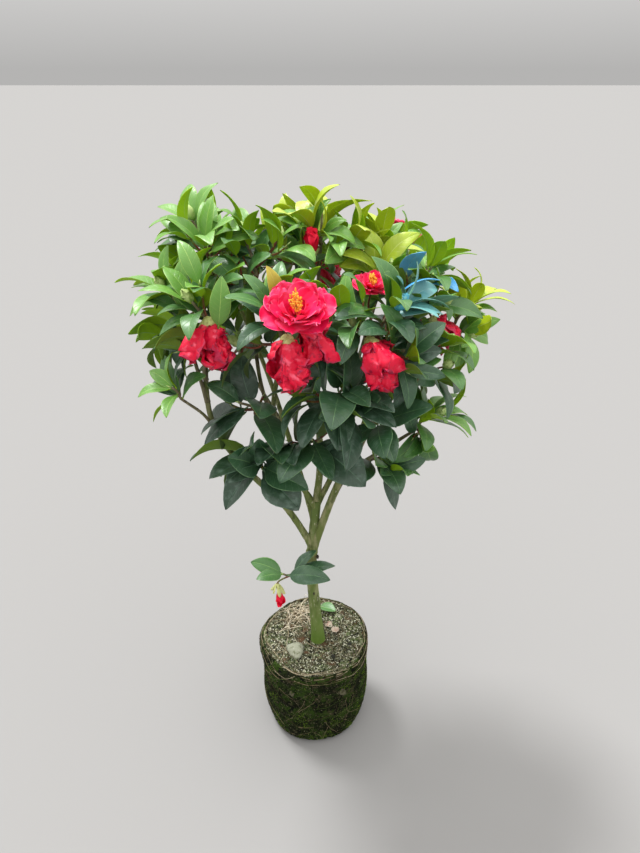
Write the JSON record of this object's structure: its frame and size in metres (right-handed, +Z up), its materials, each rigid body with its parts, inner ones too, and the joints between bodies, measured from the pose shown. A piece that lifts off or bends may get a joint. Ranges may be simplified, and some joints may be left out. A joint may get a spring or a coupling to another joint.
{
  "type": "camellia shrub on a bare root ball",
  "caption": "Young camellia grown as a small tree: one trunk that forks into slim boughs, a round leafy crown with red blooms, standing on its pot-shaped root ball.",
  "frame": {"origin": "middle of the root ball's flat underside, on the surface that the plant stands on", "axes": "+Z up along the plant's height; -Y to the front, the side with the largest bloom; +X to the right as seen from the front"},
  "size_m": [0.6019, 0.4965, 1.1085],
  "materials": {
    "root_ball": "matte",
    "bark": "matte",
    "foliage": "satin"
  },
  "bodies": {
    "root": {"root_ball": "root_ball", "trunk": "bark", "left_stem": "bark", "left_high_bough": "bark", "left_front_bough": "bark", "left_low_bough": "bark", "front_stem": "bark", "left_top_bough": "bark", "centre_stem": "bark", "centre_right_stem": "bark", "right_stem": "bark", "right_mid_bough": "bark", "right_side_stem": "bark", "right_back_stem": "bark", "right_high_bough": "bark", "low_right_bough": "bark", "low_left_bough": "bark", "low_centre_bough": "bark", "front_right_bough": "bark", "left_inner_bough": "bark", "right_inner_bough": "bark", "back_left_stem": "bark", "back_left_low_bough": "bark", "back_stem": "bark", "back_low_bough": "bark", "back_right_stem": "bark", "back_right_low_bough": "bark", "top_left_foliage": "foliage", "left_high_foliage": "foliage", "left_front_foliage": "foliage", "left_low_foliage": "foliage", "front_foliage": "foliage", "left_top_foliage": "foliage", "top_centre_foliage": "foliage", "top_right_foliage": "foliage", "right_front_foliage": "foliage", "right_mid_foliage": "foliage", "right_low_foliage": "foliage", "right_far_foliage": "foliage", "right_high_foliage": "foliage", "low_right_foliage": "foliage", "low_left_foliage": "foliage", "low_centre_foliage": "foliage", "front_right_foliage": "foliage", "left_inner_foliage": "foliage", "right_inner_foliage": "foliage", "back_left_foliage": "foliage", "back_left_low_foliage": "foliage", "back_foliage": "foliage", "back_low_foliage": "foliage", "back_right_foliage": "foliage", "back_right_low_foliage": "foliage", "low_shoot_foliage": "foliage"}
  },
  "joints": []
}
